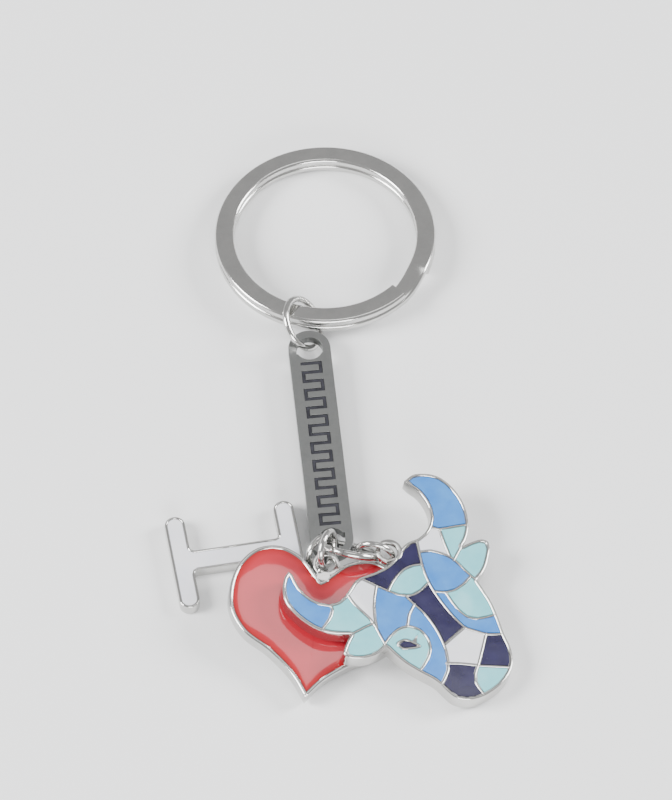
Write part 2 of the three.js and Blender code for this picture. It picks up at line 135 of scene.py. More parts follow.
def createCamera():
    data = bpy.data.cameras.new("camera")
    data.lens = camera["lens"]
    data.clip_end = camera["clipEnd"]
    shot = bpy.data.objects.new("camera", data)
    bpy.context.scene.collection.objects.link(shot)
    rise = math.radians(camera["elevation"])
    back = Vector((0, -math.cos(rise), math.sin(rise)))
    shot.location = Vector(camera["target"]) + back * camera["distance"]
    shot.rotation_euler = (-back).to_track_quat("-Z", "Y").to_euler()
    bpy.context.scene.camera = shot


createCamera()
print("camera set")


class Signal:
    # one socket of a shader tree, with arithmetic
    def __init__(self, shader, socket):
        self.shader = shader
        self.socket = socket

    def mathNode(self, operation, first, second):
        return self.shader.node("ShaderNodeMath", {"operation": operation}, {0: first, 1: second})

    def __add__(self, other):
        return self.mathNode("ADD", self, other)

    def __radd__(self, other):
        return self.mathNode("ADD", other, self)

    def __mul__(self, other):
        return self.mathNode("MULTIPLY", self, other)

    def __rmul__(self, other):
        return self.mathNode("MULTIPLY", other, self)


class Shader:
    def __init__(self, name):
        self.material = bpy.data.materials.new(name)
        self.material.use_nodes = True
        self.nodes = self.material.node_tree.nodes
        self.links = self.material.node_tree.links
        self.nodes.clear()
        self.surface = self.nodes.new("ShaderNodeBsdfPrincipled")
        output = self.nodes.new("ShaderNodeOutputMaterial")
        self.links.new(self.surface.outputs["BSDF"], output.inputs["Surface"])
        self.place = self.node("ShaderNodeTexCoord", output="Object")

    # any node: its type, its settings, then the values or links of its inputs
    def node(self, kind, settings=None, inputs=None, output=0):
        made = self.nodes.new(kind)
        for key, value in (settings or {}).items():
            if key == "stops":
                ramp = made.color_ramp
                while len(ramp.elements) < len(value):
                    ramp.elements.new(0.5)
                for element, (position, level) in zip(ramp.elements, value):
                    element.position = position
                    shade = (level, level, level) if isinstance(level, (int, float)) else level
                    element.color = (*shade, 1)
            else:
                setattr(made, key, value)
        for key, value in (inputs or {}).items():
            self.feed(made.inputs[key], value)
        return Signal(self, made.outputs[output])

    def feed(self, socket, value):
        if isinstance(value, Signal):
            self.links.new(value.socket, socket)
        elif isinstance(value, (tuple, list)) and len(value) == 3 and socket.type == "RGBA":
            socket.default_value = (*value, 1)
        else:
            socket.default_value = value

    # noise over the object: spots to the metre, detail and roughness
    def noise(self, scale, detail=3, roughness=0.5):
        return self.node("ShaderNodeTexNoise", None, {
            "Vector": self.place, "Scale": scale, "Detail": detail, "Roughness": roughness})

    def ramp(self, signal, stops):
        return self.node("ShaderNodeValToRGB", {"stops": stops}, {"Fac": signal})

    # soft patches, from none at the low level of the noise to full at the high one
    def patches(self, noise, low=0.3, high=0.7):
        return self.ramp(self.noise(*noise), [(low, 0.0), (high, 1.0)])

    def blend(self, share, first, second):
        mixed = self.nodes.new("ShaderNodeMix")
        mixed.data_type = "RGBA"
        self.feed(mixed.inputs[0], share)
        self.feed(mixed.inputs[6], first)
        self.feed(mixed.inputs[7], second)
        return Signal(self, mixed.outputs[2])

    def bump(self, height, strength, distance):
        return self.node("ShaderNodeBump", None, {
            "Strength": strength, "Distance": distance, "Height": height})

    def finish(self, **values):
        for key, value in values.items():
            self.feed(self.surface.inputs[key.replace("_", " ")], value)
        return self.material


# noises are spots to the metre, detail and roughness; bumps are strength and height in metres
polishedLook = {
    "bright": (0.62, 0.615, 0.60), "cloudy": (0.50, 0.50, 0.49), "cloudShare": 0.6, "cloud": (420, 4, 0.6),
    "grain": (5200, 2, 0.5), "handling": (1500, 5, 0.7), "handlingBump": (0.05, 0.00004),
    "roughness": 0.1, "cloudRoughness": 0.07, "grainRoughness": 0.05,
}


def polishedNickel():
    look = polishedLook
    s = Shader("polishedNickel")
    cloud = s.patches(look["cloud"], 0.35)
    grain = s.noise(*look["grain"])
    handling = s.noise(*look["handling"])
    return s.finish(Base_Color=s.blend(cloud * look["cloudShare"], look["bright"], look["cloudy"]),
                    Metallic=1.0, Normal=s.bump(handling, *look["handlingBump"]),
                    Roughness=look["roughness"] + cloud * look["cloudRoughness"]
                    + grain * look["grainRoughness"])


satinLook = {
    "bright": (0.30, 0.305, 0.30), "dark": (0.21, 0.215, 0.215), "darkShare": 0.8, "cloud": (260, 5, 0.65),
    "brushAngle": 5.8, "brushScale": (9000, 700, 900), "brushDetail": 3.0, "brushBump": (0.08, 0.00003),
    "roughness": 0.3, "cloudRoughness": 0.1, "brushRoughness": 0.1,
}


def satinNickel():
    look = satinLook
    s = Shader("satinNickel")
    cloud = s.patches(look["cloud"], 0.3, 0.75)
    stretched = s.node("ShaderNodeMapping", None, {
        "Vector": s.place, "Rotation": (0, 0, math.radians(look["brushAngle"])),
        "Scale": look["brushScale"]})
    brushed = s.node("ShaderNodeTexNoise", None, {
        "Vector": stretched, "Scale": 1.0, "Detail": look["brushDetail"]})
    return s.finish(Base_Color=s.blend(cloud * look["darkShare"], look["bright"], look["dark"]),
                    Metallic=1.0, Normal=s.bump(brushed, *look["brushBump"]),
                    Roughness=look["roughness"] + cloud * look["cloudRoughness"]
                    + brushed * look["brushRoughness"])


# each enamel's two tones
enamelTones = {
    "sky": ((0.03, 0.18, 0.54), (0.055, 0.24, 0.61)),
    "cyan": ((0.17, 0.54, 0.60), (0.23, 0.61, 0.66)),
    "navy": ((0.006, 0.004, 0.032), (0.013, 0.010, 0.055)),
    "white": ((0.80, 0.80, 0.83), (0.73, 0.74, 0.80)),
}
enamelLook = {
    "pool": (330, 3, 0.5), "ripple": (520, 2, 0.4), "rippleBump": (0.05, 0.0002), "speck": (6500, 2, 0.5),
    "speckShare": 0.12, "speckTone": (0.9, 0.9, 0.9), "roughness": 0.1, "poolRoughness": 0.04,
    "coat": 0.3, "coatRoughness": 0.03,
}


def hardEnamel(name):
    look = enamelLook
    deep, light = enamelTones[name]
    s = Shader(name + "Enamel")
    pool = s.patches(look["pool"])
    ripple = s.noise(*look["ripple"])
    speck = s.patches(look["speck"], 0.72, 0.8)
    return s.finish(
        Base_Color=s.blend(speck * look["speckShare"], s.blend(pool, deep, light), look["speckTone"]),
        Roughness=look["roughness"] + pool * look["poolRoughness"], Coat_Weight=look["coat"],
        Coat_Roughness=look["coatRoughness"], Normal=s.bump(ripple, *look["rippleBump"]))


# painted shade along the rim: the red is dark at the rim and lightens inwards
redLook = {
    "paintedRimShade": [(0.0, (0.22, 0.004, 0.005)), (0.35, (0.36, 0.008, 0.012)), (1.0, (0.46, 0.02, 0.035))],
    "pool": (240, 3, 0.5), "poolShare": 0.25, "poolTone": (0.40, 0.012, 0.025), "ripple": (300, 2, 0.4),
    "rippleBump": (0.04, 0.0002), "roughness": 0.08, "poolRoughness": 0.03, "coatRoughness": 0.03,
}


def heartEnamel():
    look = redLook
    s = Shader("heartEnamel")
    depth = s.node("ShaderNodeAttribute", {"attribute_name": "depth"}, None, "Fac")
    pool = s.patches(look["pool"])
    # the base colour carries painted shade, dark at the rim and a lighter red inwards
    body = s.ramp(depth, look["paintedRimShade"])
    ripple = s.noise(*look["ripple"])
    return s.finish(
        Base_Color=s.blend(pool * look["poolShare"], body, look["poolTone"]),
        Roughness=look["roughness"] + pool * look["poolRoughness"], Coat_Weight=1.0,
        Coat_Roughness=look["coatRoughness"], Normal=s.bump(ripple, *look["rippleBump"]))


blackLook = {
    "deep": (0.008, 0.008, 0.012), "dusty": (0.03, 0.03, 0.04), "cloud": (700, 4, 0.6),
    "roughness": 0.35, "cloudRoughness": 0.2, "cloudBump": (0.2, 0.00003),
}


def blackFill():
    look = blackLook
    s = Shader("blackFill")
    cloud = s.patches(look["cloud"], 0.3, 0.75)
    return s.finish(Base_Color=s.blend(cloud, look["deep"], look["dusty"]),
                    Roughness=look["roughness"] + cloud * look["cloudRoughness"],
                    Normal=s.bump(cloud, *look["cloudBump"]))


nickel = polishedNickel()
satin = satinNickel()
enamels = {name: hardEnamel(name) for name in enamelTones}
enamels["red"] = heartEnamel()
fill = blackFill()
print("materials made")


meshLook = {"mergeDistance": 0.0000012, "softCorner": 38, "metalworkCorner": 40}


def meshOf(name, vertices, faces):
    mesh = bpy.data.meshes.new(name)
    mesh.from_pydata(vertices, [], faces)
    return mesh


# puts a mesh drawn in millimetres in its place, closed, facing outwards and smooth but for its corners
def settled(name, mesh, material, matrix, corner=meshLook["softCorner"]):
    mesh.transform(matrix @ millimetre)
    work = bmesh.new()
    work.from_mesh(mesh)
    bmesh.ops.remove_doubles(work, verts=work.verts, dist=meshLook["mergeDistance"])
    bmesh.ops.recalc_face_normals(work, faces=work.faces)
    work.to_mesh(mesh)
    work.free()
    mesh.materials.clear()
    mesh.materials.append(material)
    mesh.polygons.foreach_set("use_smooth", [True] * len(mesh.polygons))
    mesh.set_sharp_from_angle(angle=math.radians(corner))
    made = bpy.data.objects.new(name, mesh)
    bpy.context.scene.collection.objects.link(made)
    return made


# places a group drawn in millimetres from the split ring's centre in the row's frame
def placeOf(at, pitch=0, roll=0, spin=0):
    turn = (Matrix.Rotation(math.radians(pitch), 4, "X") @ Matrix.Rotation(math.radians(roll), 4, "Y")
            @ Matrix.Rotation(math.radians(spin), 4, "Z"))
    shift = Vector(at) - rowOrigin
    return Matrix.Translation(shift * metresPerMillimetre) @ turn


# how close the points of outlines and of raised walls lie, in millimetres
runStep = {"outline": 0.3, "wall": 0.12}


# centripetal curve through the points, sampled about every step
def smoothRun(points, step, closed=False):
    knots = [Vector(p) for p in points]
    count = len(knots)
    out = []
    for i in range(count if closed else count - 1):
        start, end = knots[i], knots[(i + 1) % count]
        before = knots[i - 1] if closed or i > 0 else start + (start - end)
        after = knots[(i + 2) % count] if closed or i + 2 < count else end + (end - start)
        gapBefore = (start - before).length ** 0.5
        gap = (end - start).length ** 0.5
        gapAfter = (after - end).length ** 0.5
        leave = (start - before) / gapBefore - (end - before) / (gapBefore + gap) + (end - start) / gap
        arrive = (end - start) / gap - (after - start) / (gap + gapAfter) + (after - end) / gapAfter
        cuts = max(1, round((end - start).length / step))
        for k in range(cuts):
            t = k / cuts
            out.append(start * (2 * t ** 3 - 3 * t ** 2 + 1) + leave * gap * (t ** 3 - 2 * t ** 2 + t)
                       + end * (-2 * t ** 3 + 3 * t ** 2) + arrive * gap * (t ** 3 - t ** 2))
    if not closed:
        out.append(knots[-1])
    return out


# inward offset of a closed outline, by its own normals
def insetLoop(points, distance):
    count = len(points)
    area = sum(points[i].x * points[(i + 1) % count].y - points[(i + 1) % count].x * points[i].y
               for i in range(count))
    side = 1 if area > 0 else -1
    out = []
    for i in range(count):
        along = (points[(i + 1) % count] - points[i - 1]).normalized()
        out.append(points[i] + Vector((-along.y, along.x)) * distance * side)
    return out


def curveObject(name, dimensions, loops, level, closed):
    data = bpy.data.curves.new(name, "CURVE")
    data.dimensions = dimensions
    for loop in loops:
        spline = data.splines.new("POLY")
        spline.points.add(len(loop) - 1)
        for point, at in zip(spline.points, loop):
            point.co = (at.x, at.y, level, 1)
        spline.use_cyclic_u = closed
    made = bpy.data.objects.new(name, data)
    bpy.context.scene.collection.objects.link(made)
    return made


def evaluatedMesh(source):
    graph = bpy.context.evaluated_depsgraph_get()
    graph.update()
    mesh = bpy.data.meshes.new_from_object(source.evaluated_get(graph))
    data = source.data
    bpy.data.objects.remove(source)
    bpy.data.curves.remove(data)
    return mesh


# round wire along every path of the curve
def createWireTree():
    tree = bpy.data.node_groups.new("wireAlongPaths", "GeometryNodeTree")
    sockets = {}
    tree.interface.new_socket("Geometry", in_out="INPUT", socket_type="NodeSocketGeometry")
    for label, kind in [("Wire Radius", "NodeSocketFloat"), ("Wire Sides", "NodeSocketInt"),
                        ("Wire Material", "NodeSocketMaterial")]:
        sockets[label] = tree.interface.new_socket(label, in_out="INPUT", socket_type=kind).identifier
    tree.interface.new_socket("Geometry", in_out="OUTPUT", socket_type="NodeSocketGeometry")
    start = tree.nodes.new("NodeGroupInput")
    end = tree.nodes.new("NodeGroupOutput")
    section = tree.nodes.new("GeometryNodeCurvePrimitiveCircle")
    sweep = tree.nodes.new("GeometryNodeCurveToMesh")
    realize = tree.nodes.new("GeometryNodeRealizeInstances")
    paint = tree.nodes.new("GeometryNodeSetMaterial")
    sweep.inputs["Fill Caps"].default_value = True
    link = tree.links.new
    link(start.outputs["Wire Radius"], section.inputs["Radius"])
    link(start.outputs["Wire Sides"], section.inputs["Resolution"])
    link(start.outputs["Geometry"], sweep.inputs["Curve"])
    link(section.outputs["Curve"], sweep.inputs["Profile Curve"])
    link(sweep.outputs["Mesh"], realize.inputs["Geometry"])
    link(realize.outputs["Geometry"], paint.inputs["Geometry"])
    link(start.outputs["Wire Material"], paint.inputs["Material"])
    link(paint.outputs["Geometry"], end.inputs["Geometry"])
    return tree, sockets


wireTree, wireSockets = createWireTree()


def wireMesh(name, loops, radius, sides, level=0.0, closed=True):
    path = curveObject(name + "Path", "3D", loops, level, closed)
    modifier = path.modifiers.new("wire", "NODES")
    modifier.node_group = wireTree
    modifier[wireSockets["Wire Radius"]] = radius
    modifier[wireSockets["Wire Sides"]] = sides
    modifier[wireSockets["Wire Material"]] = nickel
    return evaluatedMesh(path)


plateEdge = {"radius": 0.12, "steps": 3}


# a flat plate of an outline with holes, its long edges rounded
def plateMesh(name, outline, holes, low, high):
    made = curveObject(name, "2D", [outline, *holes], 0, True)
    made.data.fill_mode = "BOTH"
    made.data.extrude = (high - low) / 2 - plateEdge["radius"]
    made.data.bevel_depth = plateEdge["radius"]
    made.data.bevel_resolution = plateEdge["steps"]
    made.data.offset = -plateEdge["radius"]
    mesh = evaluatedMesh(made)
    mesh.transform(Matrix.Translation((0, 0, (low + high) / 2)))
    return mesh


def joinedMesh(name, meshes):
    work = bmesh.new()
    for mesh in meshes:
        work.from_mesh(mesh)
        bpy.data.meshes.remove(mesh)
    whole = bpy.data.meshes.new(name)
    work.to_mesh(whole)
    work.free()
    return whole


# points along an arc, from one angle to another in degrees
def arcPoints(centre, radius, start, end, count):
    angles = [math.radians(start + (end - start) * k / count) for k in range(count + 1)]
    return [Vector((centre[0] + radius * math.cos(angle), centre[1] + radius * math.sin(angle)))
            for angle in angles]


splitRing = {"outerDiameter": 30, "stripWidth": 2.6, "coilThickness": 1.14, "coilGap": 0.12,
             "edgeRound": 0.42, "edgeSteps": 5, "endAngle": -43.6, "crossing": 23, "crossingSteps": 16,
             "tilt": 3.2, "stepAngle": 2}


def createSplitRing():
    p = splitRing
    radius = (p["outerDiameter"] - p["stripWidth"]) / 2
    rise = p["coilThickness"] + p["coilGap"]
    halfWidth, halfThick, r = p["stripWidth"] / 2, p["coilThickness"] / 2, p["edgeRound"]
    section = []
    for across, up, start in [(1, 1, 0), (-1, 1, 90), (-1, -1, 180), (1, -1, 270)]:
        corner = (across * (halfWidth - r), up * (halfThick - r))
        section += [tuple(q) for q in arcPoints(corner, r, start, start + 90, p["edgeSteps"])]
    turn = 360 - p["crossing"]
    steps = round(turn / p["stepAngle"])
    stops = [(turn * k / steps, 1.0) for k in range(steps + 1)]
    for k in range(1, p["crossingSteps"]):
        share = k / p["crossingSteps"]
        stops.append((turn + p["crossing"] * share, (1 + math.cos(math.pi * share)) / 2))
    stops += [(360 + turn * k / steps, 0.0) for k in range(steps + 1)]
    count = len(section)
    vertices, faces = [], []
    for row, (travel, level) in enumerate(stops):
        angle = math.radians(p["endAngle"] - travel)
        for across, up in section:
            reach = radius + across
            height = up + halfThick + rise * level
            vertices.append((reach * math.cos(angle), reach * math.sin(angle), height))
        if row:
            for k in range(count):
                a, b = (row - 1) * count + k, (row - 1) * count + (k + 1) % count
                faces.append((a, b, b + count, a + count))
    faces.append(tuple(range(count)))
    faces.append(tuple(reversed(range(len(vertices) - count, len(vertices)))))
    lift = p["outerDiameter"] / 2 * math.sin(math.radians(p["tilt"]))
    ring = settled("splitRingStrip", meshOf("splitRingStrip", vertices, faces), nickel,
                   placeOf((0, 0, lift), pitch=-p["tilt"]))
    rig.ride(ring, "split_ring")
    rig.replaces(ring, "split_ring")
    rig.slot(ring, "nickel")


createSplitRing()
print("split ring made")


# each ring of round wire: its node, its body and the angle where its two ends meet
wireRings = {
    "upperJumpRing": {"node": "upper_jump_ring", "body": "upper_ring", "seam": 200},
    "linkRing": {"node": "link_ring", "body": "link_ring", "seam": 95},
    "iJumpRing": {"node": "i_jump_ring", "body": "i_ring", "seam": 40},
    "heartJumpRing": {"node": "heart_jump_ring", "body": "heart_ring", "seam": 130},
    "bullJumpRing": {"node": "bull_jump_ring", "body": "bull_ring", "seam": 250},
}
wireSeam = {"gap": 0.05, "sides": 24, "stops": 96, "planeRounds": 3}


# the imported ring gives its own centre, plane and sizes
def createWireRing(name, ring):
    points = [v.co.copy() for v in frame["nodes"][ring["node"]].data.vertices]
    centre = sum(points, Vector()) / len(points)
    far = max(points, key=lambda q: (q - centre).length) - centre
    aside = max(points, key=lambda q: far.normalized().cross(q - centre).length) - centre
    normal = far.cross(aside).normalized()
    for _ in range(wireSeam["planeRounds"]):
        flat = [q - centre for q in points]
        first = far.normalized()
        second = normal.cross(first)
        heights = [(q.dot(first), q.dot(second), q.dot(normal)) for q in flat]
        firstSlope = sum(h[0] * h[2] for h in heights) / sum(h[0] ** 2 for h in heights)
        secondSlope = sum(h[1] * h[2] for h in heights) / sum(h[1] ** 2 for h in heights)
        normal = (normal - first * firstSlope - second * secondSlope).normalized()
        far = far - normal * far.dot(normal)
    reach = [(q - centre - normal * (q - centre).dot(normal)).length for q in points]
    outer, inner = max(reach) / metresPerMillimetre, min(reach) / metresPerMillimetre
    middle, wire = (outer + inner) / 2, (outer - inner) / 2
    turned = normal.to_track_quat("Z", "Y").to_matrix().to_4x4()
    opening = math.degrees(wireSeam["gap"] / middle)
    path = arcPoints((0, 0), middle, ring["seam"] + opening / 2, ring["seam"] + 360 - opening / 2,
                     wireSeam["stops"])
    mesh = wireMesh(name, [path], wire, wireSeam["sides"], closed=False)
    made = settled(name, mesh, nickel, Matrix.Translation(centre) @ turned)
    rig.ride(made, ring["body"])
    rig.replaces(made, ring["node"])
    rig.slot(made, "nickel")


for ringName, ringValues in wireRings.items():
    createWireRing(ringName, ringValues)
print("wire rings made")


# edge angles in degrees; distances in metres
edgeLook = {"weld": 0.000001, "flat": 0.6, "segments": 3, "corner": 40, "bar": 0.00012, "enamel": 0.00007}


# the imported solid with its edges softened
def roundEdges(node, width):
    held = frame["nodes"][node]
    weld = held.modifiers.new("weld", "WELD")
    weld.merge_threshold = edgeLook["weld"]
    merge = held.modifiers.new("flat", "DECIMATE")
    merge.decimate_type = "DISSOLVE"
    merge.angle_limit = math.radians(edgeLook["flat"])
    rounding = held.modifiers.new("round", "BEVEL")
    rounding.width = width
    rounding.segments = edgeLook["segments"]
    rounding.limit_method = "ANGLE"
    rounding.angle_limit = math.radians(edgeLook["corner"])
    rounding.harden_normals = True


def paint(node, material):
    held = frame["nodes"][node].data
    held.materials.clear()
    held.materials.append(material)


roundEdges("name_bar", edgeLook["bar"])
paint("name_bar", satin)
paint("bar_key_inlay", fill)
print("name bar finished")


tabLug = {"holeRadius": 1.15, "band": 0.65, "thickness": 0.7, "neck": 0.9, "bandSteps": 48, "holeSteps": 40}


def tabMesh(name, at, root, low):
    p = tabLug
    centre, base = Vector(at), Vector(root)
    outer = p["holeRadius"] + p["band"]
    away = (centre - base).normalized()
    side = Vector((-away.y, away.x))
    lean = math.degrees(math.atan2(away.y, away.x))
    spread = 180 - math.degrees(math.asin(p["neck"] / outer))
    outline = arcPoints(centre, outer, lean - spread, lean + spread, p["bandSteps"])
    outline += [base + side * p["neck"], base - side * p["neck"]]
    hole = arcPoints(centre, p["holeRadius"], 0, 360, p["holeSteps"])[:-1]
    return plateMesh(name, outline, [hole], low, low + p["thickness"])


metalworkLook = {"rimSides": 18, "wallSides": 14, "wallSink": 0.02}


# a charm's metalwork: a plate to just under the enamel, a rounded rim, raised walls and the lug.
# rim and wall are the radii of their wire.
def createMetalwork(name, node, body, charm, outline, walls):
    thickness, rim = charm["thickness"], charm["rim"]
    meshes = [
        plateMesh(name + "Plate", outline, [], 0, thickness - rim),
        wireMesh(name + "Rim", [insetLoop(outline, rim)], rim, metalworkLook["rimSides"], thickness - rim),
        tabMesh(name + "Tab", charm["tab"], charm["tabRoot"], thickness - tabLug["thickness"]),
    ]
    if walls:
        level = thickness - charm["wall"] - metalworkLook["wallSink"]
        meshes.append(wireMesh(name + "Walls", walls, charm["wall"], metalworkLook["wallSides"], level,
                               closed=False))
    made = settled(name, joinedMesh(name, meshes), nickel, charmPlace(charm), meshLook["metalworkCorner"])
    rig.ride(made, body)
    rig.replaces(made, node)
    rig.slot(made, "nickel")


def charmPlace(charm):
    return placeOf(charm["at"], charm["pitch"], charm["roll"], charm["spin"])


def glaze(node, name):
    paint(node, enamels[name])


iCharm = {"at": (-11.8, -50.4, 0), "pitch": 0, "roll": 0, "spin": 10, "length": 17.5, "serifLength": 14.5,
          "serifWidth": 2.75, "stemWidth": 3.1, "fillet": 0.5, "filletBow": 0.3, "endSteps": 20,
          "thickness": 1.8, "rim": 0.18, "tab": (9.9, -4.2), "tabRoot": (8.6, -4.0)}


def createICharm():
    p = iCharm
    end, stem, r, f = p["length"] / 2, p["stemWidth"] / 2, p["serifWidth"] / 2, p["fillet"]
    inner, tip = end - p["serifWidth"], p["serifLength"] / 2 - r
    bow = f * p["filletBow"]
    fillet = [(inner - f, stem), (inner - bow, stem + bow), (inner, stem + f)]
    outline = []
    for side, turn in [(1, 0), (-1, 180)]:
        outline += [Vector((side * x, -side * y)) for x, y in fillet]
        for bend, reach in [(180, -tip), (0, tip)]:
            outline += arcPoints((side * (inner + r), side * reach), r, bend + turn, bend + 180 + turn,
                                 p["endSteps"])
        outline += [Vector((side * x, side * y)) for x, y in reversed(fillet)]
    createMetalwork("iMetalwork", "i_charm_body", "i_charm", p, outline, [])
    glaze("i_charm_enamel", "white")


createICharm()
print("I charm made")


heart = {"at": (-2.8, -73.15, 0.56), "pitch": 6, "roll": 6.8, "spin": -7, "thickness": 2.0, "rim": 0.3,
         "tab": (0.3, 20.1), "tabRoot": (0.05, 17.5), "middle": (0, 11.5), "dome": 0.32, "shoulder": 1.3,
         "meniscus": 0.2, "glazeSink": 0.1, "glazeInset": 1.1, "rings": 30, "ringCrowding": 1.6,
         "side": [(0, 0), (2.2, 3.0), (5.6, 5.9), (9.4, 8.2), (11.5, 11.2), (12.0, 14.6), (11.2, 18.2),
                  (9.0, 20.9), (6.0, 21.7), (3.0, 20.6), (1.1, 18.7), (0, 17.4)]}


# how far a point is inside a closed loop, whose points are also in the tree
def edgeDistance(point, loop, tree):
    _, nearest, _ = tree.find((point.x, point.y, 0))
    distances = []
    for k in (nearest - 1, nearest):
        start, end = loop[k], loop[(k + 1) % len(loop)]
        along = end - start
        share = max(0.0, min(1.0, (point - start).dot(along) / max(along.length_squared, 1e-9)))
        distances.append((point - start - along * share).length)
    return min(distances)


def createHeart():
    p = heart
    right = smoothRun(p["side"], runStep["outline"])
    left = [Vector((-q.x, q.y)) for q in reversed(right)]
    outline = right[:-1] + left[:-1]
    createMetalwork("heartMetalwork", "heart_body", "heart_charm", p, outline, [])
    middle = Vector(p["middle"])
    edge = insetLoop(outline, p["rim"] * p["glazeInset"])
    count = len(edge)
    tree = KDTree(count)
    for k, q in enumerate(edge):
        tree.insert((q.x, q.y, 0), k)
    tree.balance()
    base, level = p["thickness"] - p["rim"] - p["glazeSink"], p["thickness"] - p["meniscus"]
    vertices = [(q.x, q.y, base) for q in edge]
    faces, depth = [], [0.0] * count
    for ring in range(p["rings"]):
        share = (ring / p["rings"]) ** p["ringCrowding"]
        for q in edge:
            at = q.lerp(middle, share)
            inward = edgeDistance(at, edge, tree)
            swell = 1 - math.exp(-inward / p["shoulder"])
            vertices.append((at.x, at.y, level + p["dome"] * swell))
            # 0 at the rim, 1 further in: the mask for the painted rim shade of the red
            depth.append(min(1.0, inward / p["shoulder"]))
    for ring in range(p["rings"]):
        for k in range(count):
            a, b = ring * count + k, ring * count + (k + 1) % count
            faces.append((a, b, b + count, a + count))
    vertices.append((middle.x, middle.y, level + p["dome"]))
    depth.append(1.0)
    last = p["rings"] * count
    faces += [(last + k, last + (k + 1) % count, len(vertices) - 1) for k in range(count)]
    faces.append(tuple(reversed(range(count))))
    mesh = meshOf("heartGlaze", vertices, faces)
    # kept on the mesh to set the painted rim shade of the red enamel
    layer = mesh.attributes.new("depth", "FLOAT", "POINT")
    layer.data.foreach_set("value", depth)
    made = settled("heartGlaze", mesh, enamels["red"], charmPlace(p))
    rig.ride(made, "heart_charm")
    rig.replaces(made, "heart_enamel")
    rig.slot(made, "red_enamel")


createHeart()
print("heart charm made")


bull = {"at": (19, -75.25, 0.5), "pitch": 3.7, "roll": 8.2, "spin": 0, "thickness": 2.4, "rim": 0.225,
        "wall": 0.18, "tab": (-10.9, 23.0), "tabRoot": (-10.4, 21.6), "eyeSoftening": 4}
# the head's outline in runs that meet at corners, clockwise from the tip of the right horn
bullOutline = {
    "rightHorn": [(-8.8, 33.9), (-7.7, 34.9), (-6.3, 35.2), (-4.5, 35.0), (-3.0, 34.1), (-1.6, 32.5),
                  (-0.7, 30.8), (-0.2, 28.8), (-0.2, 27.0), (-0.6, 25.4), (-1.1, 24.5)],
    "rightEar": [(-1.1, 24.5), (0.4, 25.4), (1.6, 25.8), (2.4, 25.6), (2.7, 24.6), (2.5, 23.1),
                 (2.2, 21.8), (1.6, 20.5), (0.9, 19.6)],
    "muzzle": [(0.9, 19.6), (1.8, 18.2), (2.9, 16.3), (3.8, 14.0), (4.6, 11.6), (5.3, 10.0), (5.7, 8.2),
               (5.5, 6.5), (4.3, 4.3), (3.0, 3.0), (1.7, 2.1), (0.2, 1.5), (-1.0, 1.4), (-2.2, 1.7),
               (-3.3, 2.6), (-4.6, 3.9), (-6.8, 5.1), (-8.8, 6.3), (-10.3, 7.6), (-11.3, 8.6)],
    "leftEar": [(-11.3, 8.6), (-12.4, 7.4), (-13.6, 6.8), (-15.0, 6.5), (-16.4, 6.6), (-17.0, 7.2),
                (-16.8, 8.3), (-16.4, 9.3), (-16.0, 10.1)],
    "leftHornUnder": [(-16.0, 10.1), (-17.7, 10.0), (-19.2, 10.1), (-20.7, 10.6), (-22.2, 11.5),
                      (-23.5, 12.6), (-24.6, 13.9), (-25.1, 15.2), (-25.2, 16.6), (-24.9, 18.1),
                      (-24.4, 18.9)],
    "leftHornOver": [(-24.4, 18.9), (-23.9, 18.5), (-23.5, 17.6), (-22.8, 16.4), (-21.7, 15.3),
                     (-20.4, 14.6), (-18.9, 14.4)],
    "leftBrow": [(-18.9, 14.4), (-17.7, 14.9), (-16.6, 16.2), (-15.6, 18.0), (-14.8, 18.8)],
    "crown": [(-14.8, 18.8), (-13.0, 19.6), (-11.4, 20.6), (-10.2, 21.9), (-9.3, 23.5), (-8.3, 24.6),
              (-7.1, 25.2)],
    "rightHornInner": [(-7.1, 25.2), (-6.1, 26.2), (-5.5, 27.4), (-5.3, 28.8), (-5.6, 30.2), (-6.2, 31.4),
                       (-7.1, 32.5), (-8.1, 33.2), (-8.8, 33.9)],
}
